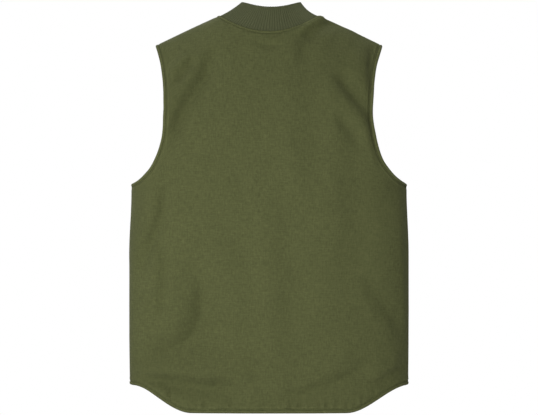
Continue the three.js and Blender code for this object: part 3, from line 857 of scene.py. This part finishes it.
def zip_middle():
    """The zip's middle line from the neck to the hem, as places and normals, and distances down it."""
    place = left["points"][::-1, 0] * (0, 1, 1)
    place[:, 1] -= ZIP_EDGE_DIP
    normal = unit(left["normals"][::-1, ZIP_FACING_COLUMN] * (0, 1, 1))
    fall = unit(place[-1] - place[-2])
    place = appended(place, place[-1:] + fall * (BINDING_WIDTH - ZIP_HEM_GAP))
    normal = appended(normal, normal[-1:])
    return np.stack([place, normal], axis=1), run_along(place) - ZIP_TOP_GAP


zip_line, zip_run = zip_middle()
teeth_end = zip_run[-1] - STOP_ROOM


def on_zip(points, down):
    """Points (across, down, out) moved to a distance down the zip."""
    place, normal = between(down, zip_run, zip_line)
    normal = unit(normal)
    fall = unit(np.cross(SIDEWAYS, normal))
    fall = -fall if fall[2] > 0 else fall
    return place + points[:, :1] * SIDEWAYS + points[:, 1:2] * fall + points[:, 2:] * normal


def rounded_block(size, bevel):
    """Points and faces of a block with bevelled edges, middle at the origin."""
    half = np.array(size) / 2
    sections = []
    for level, inset in ((-half[2], bevel), (-half[2] + bevel, 0), (half[2] - bevel, 0), (half[2], bevel)):
        a, b = half[:2] - inset
        c, d = a - bevel, b - bevel
        loop = [(a, -d), (a, d), (c, b), (-c, b), (-a, d), (-a, -d), (-c, -b), (c, -b)]
        sections.append([(x, y, level) for x, y in loop])
    return strip_part(sections)


def oval(half_wide, half_long, middle, power, count):
    """A closed rounded outline, as points (across, down)."""
    angle = 2 * np.pi * np.arange(count) / count
    c, s = np.cos(angle), np.sin(angle)
    across = half_wide * np.sign(c) * np.abs(c) ** (2 / power)
    down = middle + half_long * np.sign(s) * np.abs(s) ** (2 / power)
    return stacked(across, down)


def zip_teeth():
    points, faces = rounded_block(size=(3.1, 1.25, 2.3), bevel=0.28)
    parts = []
    for side, start in ((1, TEETH_START), (-1, TEETH_START + TEETH_PITCH / 2)):
        moved = points + (side * TOOTH_ACROSS, 0, TOOTH_OUT)
        parts += [(on_zip(moved, down), faces) for down in np.arange(start, teeth_end, TEETH_PITCH)]
    return parts


def zip_stop():
    points, faces = rounded_block(size=(7.6, 6.0, 3.2), bevel=0.5)
    return on_zip(points + (0, 0, STOP_OUT), teeth_end + STOP_DROP), faces


def zip_slider():
    """The slider's body, wider at its top, and the bridge over it that holds the pull."""
    side, rise = oval(half_wide=1.0, half_long=1.0, middle=0.0, power=3.2, count=20).T
    levels = np.linspace(0, 1, SLIDER_LEVELS)
    wide = SLIDER_HALF + SLIDER_WIDER * smoothstep((SLIDER_WIDER_END - levels) / SLIDER_WIDER_RUN)
    high = SLIDER_HIGH * np.sqrt(np.clip(1 - (2 * levels - 1) ** SLIDER_END_POWER, SLIDER_END_SHARE, 1))
    body = [stacked(w * side, SLIDER_LENGTH * (t - 0.5) + 0 * side, SLIDER_OUT + h * rise)
            for t, w, h in zip(levels, wide, high)]
    bridge = [stacked(BRIDGE_HALF * side, BRIDGE_REACH * np.cos(a) * (1 + BRIDGE_FOOT_THICK * rise),
                      BRIDGE_FOOT + BRIDGE_RISE * np.sin(a) * (1 + BRIDGE_TOP_THICK * rise))
              for a in np.linspace(0, np.pi, BRIDGE_STEPS)]
    middle = SLIDER_TOP + SLIDER_LENGTH / 2
    return [(on_zip(points, middle), faces) for points, faces in (strip_part(body), strip_part(bridge))]


def zip_pull():
    outline = oval(half_wide=3.0, half_long=14.5, middle=14.5, power=5, count=PULL_POINTS)
    slot = oval(half_wide=1.6, half_long=3.0, middle=4.4, power=3, count=PULL_POINTS)
    loops = [np.column_stack([loop, side * PULL_THICK / 2 + PULL_OUT - PULL_LEAN * loop[:, 1]])
             for loop, side in ((outline, 1), (slot, 1), (slot, -1), (outline, -1))]
    points, faces = strip_part(zip(*loops), True)
    return on_zip(points, PULL_TOP), faces


def zip_tape(name):
    at = np.linspace(0, zip_run[-1], TAPE_STEPS)
    half = ZIP_HALF - SEAM_GAP
    top = [(half, TAPE_TOP - TAPE_ROUND_DROP), (half - TAPE_ROUND, TAPE_TOP), (TAPE_CORD_FOOT, TAPE_TOP),
           (TAPE_CORD_HALF, TAPE_TOP + TAPE_CORD_RISE)]
    bottom = [(half, TAPE_BOTTOM), (TAPE_KEEL_HALF, TAPE_BOTTOM - TAPE_KEEL_DROP)]
    left_top, left_bottom = ([(-across, out) for across, out in side] for side in (top, bottom[::-1]))
    section = np.array([(across, 0, out) for across, out in left_top + top[::-1] + bottom + left_bottom])
    return strip_object(name, np.stack([on_zip(section, down) for down in at]), False)


tape = zip_tape("front_zip_tape")
chain = merged("front_zip_chain", [*zip_teeth(), zip_stop(), *zip_slider(), zip_pull()])
chain.data.set_sharp_from_angle(angle=math.radians(35))


class Look:
    """A node material, with short calls for its nodes."""

    def __init__(self, name):
        self.material = bpy.data.materials.new(name)
        self.material.use_nodes = True
        self.tree = self.material.node_tree
        self.shader = self.tree.nodes["Principled BSDF"]

    def put(self, socket, value):
        if isinstance(value, bpy.types.NodeSocket):
            self.tree.links.new(value, socket)
        else:
            socket.default_value = value

    def node(self, kind, inputs=(), output=0, **settings):
        """An output of a new shader node."""
        made = self.tree.nodes.new("ShaderNode" + kind)
        for key, value in settings.items():
            setattr(made, key, value)
        for key, value in dict(inputs).items():
            self.put(made.inputs[key], value)
        return made.outputs[output]

    def math(self, operation, a, b=0.0, c=0.0):
        return self.node("Math", {0: a, 1: b, 2: c}, operation=operation)

    def times(self, a, b):
        return self.math("MULTIPLY", a, b)

    def scaled(self, value, by, plus):
        return self.math("MULTIPLY_ADD", value, by, plus)

    def half_wave(self, value):
        """The sine of a value in half turns."""
        return self.math("SINE", self.times(value, math.pi))

    def place(self, layer):
        across = self.node("SeparateXYZ", {0: self.node("UVMap", uv_map=layer)})
        return across, across.node.outputs[1]

    def noise(self, place, size, detail=2.0):
        """Noise from 0 to 1 on a map, its grain as wide and tall as size."""
        across, up = (self.math("DIVIDE", part, length) for part, length in zip(place, size))
        vector = self.node("CombineXYZ", {0: across, 1: up})
        inputs = {"Vector": vector, "Scale": 1.0, "Detail": detail, "Roughness": 0.6}
        return self.node("TexNoise", inputs)

    def around_one(self, value, amount):
        """A factor that a value from 0 to 1 moves up and down from one."""
        return self.scaled(value, 2 * amount, 1 - amount)

    def toned(self, factor, *tones):
        """A factor moved up and down by values from 0 to 1, each with its amount."""
        for value, amount in tones:
            factor = self.times(factor, self.around_one(value, amount))
        return factor

    def tint(self, colour, factor):
        return self.node("VectorMath", {0: colour, 1: factor}, operation="MULTIPLY")

    def bump(self, height, distance, below=None):
        inputs = {"Height": height, "Distance": distance, "Strength": 1.0}
        if below is not None:
            inputs["Normal"] = below
        return self.node("Bump", inputs)

    def finish(self, **inputs):
        for key, value in inputs.items():
            self.put(self.shader.inputs[key.replace("_", " ")], value)
        return self.material


# Materials. Sizes of grains, pitches of threads and heights of bumps are metres, and a tone is the share
# by which a grain moves the colour.
THREAD_DIP, THREAD_TONE, THREAD_BUMP = 0.45, 0.10, 0.00012
SLUB_WIDE, SLUB_LONG, SLUB_TONE, SLUB_BUMP = 0.0024, 0.014, 0.50, 0.00035
HEATHER_TONE, CANVAS_MOTTLE_TONE, WEAR_AND_SHADE_TONE = 0.26, 0.08, 0.10
CANVAS_ROUGH, HEATHER_ROUGH = 0.84, 0.12


def canvas_look(name, colour, pitch):
    """Cotton duck: a plain weave with slubs, a faint heather and slow changes of tone."""
    look = Look(name)
    place = look.place("cloth")
    warp_at, weft_at = (look.math("DIVIDE", part, pitch) for part in place)
    cells = look.math("ADD", look.math("FLOOR", warp_at), look.math("FLOOR", weft_at))
    over = look.math("ABSOLUTE", look.math("MODULO", cells, 2.0))
    warp, weft = (look.half_wave(look.math("FRACT", at)) for at in (warp_at, weft_at))
    warp_top = look.times(warp, look.scaled(weft, THREAD_DIP, 1 - THREAD_DIP))
    weft_top = look.times(weft, look.scaled(warp, THREAD_DIP, 1 - THREAD_DIP))
    thread = look.node("Mix", {0: over, 2: weft_top, 3: warp_top}, data_type="FLOAT")
    slub_up = look.noise(place, (SLUB_WIDE, SLUB_LONG))
    slub_across = look.noise(place, (SLUB_LONG, SLUB_WIDE))
    slubs = look.times(look.math("ADD", slub_up, slub_across), 0.5)
    heather = look.noise(place, size=(0.0042, 0.0052), detail=3.0)
    mottle = look.noise(place, size=(0.055, 0.075))
    # The wear attribute holds lighter worn edges and painted shade in creases, seams and stitch lines.
    wear_and_shade = look.node("Attribute", output="Fac", attribute_name="wear_and_shade")
    factor = look.toned(look.scaled(wear_and_shade, WEAR_AND_SHADE_TONE, 1.0), (thread, THREAD_TONE), (slubs, SLUB_TONE),
                        (heather, HEATHER_TONE), (mottle, CANVAS_MOTTLE_TONE))
    normal = look.bump(slubs, SLUB_BUMP, look.bump(thread, THREAD_BUMP))
    rough = look.scaled(heather, HEATHER_ROUGH, CANVAS_ROUGH)
    return look.finish(Base_Color=look.tint(colour, factor), Roughness=rough, Normal=normal,
                       Specular_IOR_Level=0.08, Sheen_Weight=0.015, Sheen_Roughness=0.55)


KNIT_ROW = 1.5
LOOP_SLANT, LOOP_POWER = 1.6, 0.6
LOOP_DIP, LOOP_TONE, LOOP_BUMP = 0.6, 0.12, 0.0003
FUZZ_TONE, FUZZ_BUMP, KNIT_MOTTLE_TONE = 0.16, 0.0002, 0.06
GROOVE_START, GROOVE_SHADE_TONE = 0.30, 0.72


def knit_look(name, colour):
    """Rib knit: rows of small slanting loops up each rib, and painted shade in the grooves between the ribs.
    """
    look = Look(name)
    ribs, rise = look.place("knit")
    place = look.place("cloth")
    in_rib = look.math("FRACT", ribs)
    from_middle = look.math("ABSOLUTE", look.math("SUBTRACT", in_rib, 0.5))
    slant = look.scaled(from_middle, LOOP_SLANT, look.math("DIVIDE", rise, KNIT_ROW))
    loop = look.math("ABSOLUTE", look.half_wave(slant))
    leg = look.half_wave(look.math("FRACT", look.times(in_rib, 2.0)))
    stitch = look.times(look.math("POWER", loop, LOOP_POWER), look.scaled(leg, LOOP_DIP, 1 - LOOP_DIP))
    fuzz = look.noise(place, size=(0.0016, 0.0022), detail=3.0)
    mottle = look.noise(place, size=(0.03, 0.02))
    # Painted shade: the colour darkens towards the grooves between the ribs.
    groove_shade_range = {0: from_middle, 1: GROOVE_START, 2: 0.5, 3: 1.0, 4: GROOVE_SHADE_TONE}
    groove = look.node("MapRange", groove_shade_range)
    factor = look.toned(groove, (stitch, LOOP_TONE), (fuzz, FUZZ_TONE), (mottle, KNIT_MOTTLE_TONE))
    normal = look.bump(fuzz, FUZZ_BUMP, look.bump(stitch, LOOP_BUMP))
    return look.finish(Base_Color=look.tint(colour, factor), Roughness=0.95, Normal=normal,
                       Specular_IOR_Level=0.08, Sheen_Weight=0.03, Sheen_Roughness=0.5)


TARNISH_TONE, TARNISH_ROUGH, BRASS_ROUGH = 0.4, 0.3, 0.22
SCRATCH_TONE, SCRATCH_BUMP = 0.12, 0.00004


def brass_look(name, colour):
    """Dark aged brass: cloudy tarnish and fine scratches."""
    look = Look(name)
    place = look.place("cloth")
    cloud = look.noise(place, size=(0.004, 0.005), detail=4.0)
    scratch = look.noise(place, size=(0.0002, 0.006))
    factor = look.toned(look.around_one(cloud, TARNISH_TONE), (scratch, SCRATCH_TONE))
    rough = look.scaled(cloud, TARNISH_ROUGH, BRASS_ROUGH)
    return look.finish(Base_Color=look.tint(colour, factor), Roughness=rough, Metallic=1.0,
                       Normal=look.bump(scratch, SCRATCH_BUMP))


canvas = canvas_look("olive_duck", colour=(0.099, 0.108, 0.0425), pitch=0.00055)
knit = knit_look("olive_rib_knit", colour=(0.090, 0.0985, 0.0485))
thread = canvas_look("olive_thread", colour=(0.050, 0.055, 0.025), pitch=0.0004)
tape_cloth = canvas_look("olive_zip_tape", colour=(0.075, 0.080, 0.038), pitch=0.0007)
brass = brass_look("aged_brass", colour=(0.36, 0.27, 0.12))

PIECES = [
    (back_cloth, canvas, "canvas", "back_panel"),
    (left_cloth, canvas, "canvas", "front_panel_left"),
    (right_cloth, canvas, "canvas", "front_panel_right"),
    (left_armhole, canvas, "canvas", "armhole_binding_left"),
    (right_armhole, canvas, "canvas", "armhole_binding_right"),
    (hem_strip, canvas, "canvas", "hem_binding"),
    (collar, knit, "rib_knit", "collar"),
    (chain, brass, "zip", "front_zip"),
    (tape, tape_cloth, "zip", "front_zip"),
    (back_stitches, thread, "canvas", None),
    (front_stitches, thread, "canvas", None),
    (edge_stitches, thread, "canvas", None),
]
for piece, material, slot, node in PIECES:
    piece.data.materials.append(material)
    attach(piece, "root")
    if node:
        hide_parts(node)

# Floor, lights and camera, in metres and watts. A light's row is its place, width and power. The spot
# is aimed at the collar's right end.
FLOOR_Z = -1.0
FLOOR_COLOUR, FLOOR_TONE = (0.82, 0.82, 0.81), 0.02
PHOTO_WIDTH = 538
MM_PER_PIXEL = 1.9
CAMERA_AWAY = 5.0
CAMERA_Z = -0.364
LIGHTS = {
    "key": ((1.26, 2.28, 0.4), 1.4, 16),
    "side": ((2.59, 1.15, -0.13), 1.4, 14.7),
    "fill": ((0.0, 1.7, -0.33), 1.0, 9.6),
    "top_left": ((0.8, -0.6, 2.1), 1.6, 18),
    "top_right": ((-0.9, -1.0, 2.2), 1.6, 24),
    "front": ((1.8, -4.2, 1.4), 2.6, 105),
}
SPOT_PLACE, SPOT_AIM = (-0.38, 0.33, 0.43), (-0.068, 0.033, 0.012)
SOFT_LIGHT, BACKDROP_LIGHT = 0.22, 1.0
WHITE = (1.0, 1.0, 1.0, 1.0)


def floor_look():
    look = Look("pale_floor")
    place = look.node("TexCoord", output="Object")
    grain = look.node("TexNoise", {"Vector": place, "Scale": 3.0, "Detail": 3.0})
    return look.finish(Base_Color=look.tint(FLOOR_COLOUR, look.around_one(grain, FLOOR_TONE)), Roughness=0.9)


bpy.ops.mesh.primitive_circle_add(vertices=96, radius=3.0, fill_type="NGON", location=(0, 0, FLOOR_Z))
floor = bpy.context.object
floor.name = "floor"
floor.data.materials.append(floor_look())


def hung_light(kind, name, place, aim, **settings):
    light = bpy.data.lights.new(name, kind)
    for key, value in settings.items():
        setattr(light, key, value)
    made = placed(name, light)
    made.location = place
    made.rotation_euler = (Vector(aim) - Vector(place)).to_track_quat("-Z", "Y").to_euler()
    made.visible_camera = False


for light_name, (place, size, power) in LIGHTS.items():
    hung_light("AREA", light_name, place, (0, 0, CAMERA_Z), energy=power, shape="DISK", size=size)
hung_light("SPOT", "collar_end", SPOT_PLACE, SPOT_AIM, energy=6.0, spot_size=math.radians(9), spot_blend=1.0,
           shadow_soft_size=0.03)

# A white world that gives soft light, and is brighter where the camera sees it.
world = bpy.data.worlds.new("studio")
scene.world = world
world.use_nodes = True
nodes, links = world.node_tree.nodes, world.node_tree.links
soft, seen = nodes["Background"], nodes.new("ShaderNodeBackground")
for background, strength in ((soft, SOFT_LIGHT), (seen, BACKDROP_LIGHT)):
    background.inputs["Color"].default_value = WHITE
    background.inputs["Strength"].default_value = strength
both = nodes.new("ShaderNodeMixShader")
links.new(nodes.new("ShaderNodeLightPath").outputs["Is Camera Ray"], both.inputs[0])
links.new(soft.outputs[0], both.inputs[1])
links.new(seen.outputs[0], both.inputs[2])
links.new(both.outputs[0], nodes["World Output"].inputs[0])

scene.view_settings.view_transform = "Standard"
scene.view_settings.look = "None"

camera_data = bpy.data.cameras.new("camera")
camera_data.lens = camera_data.sensor_width * CAMERA_AWAY / (PHOTO_WIDTH * MM_PER_PIXEL * MM)
camera = placed("camera", camera_data)
camera.location = (0, CAMERA_AWAY, CAMERA_Z)
camera.rotation_euler = (math.pi / 2, 0, math.pi)
scene.camera = camera

bpy.context.view_layer.update()
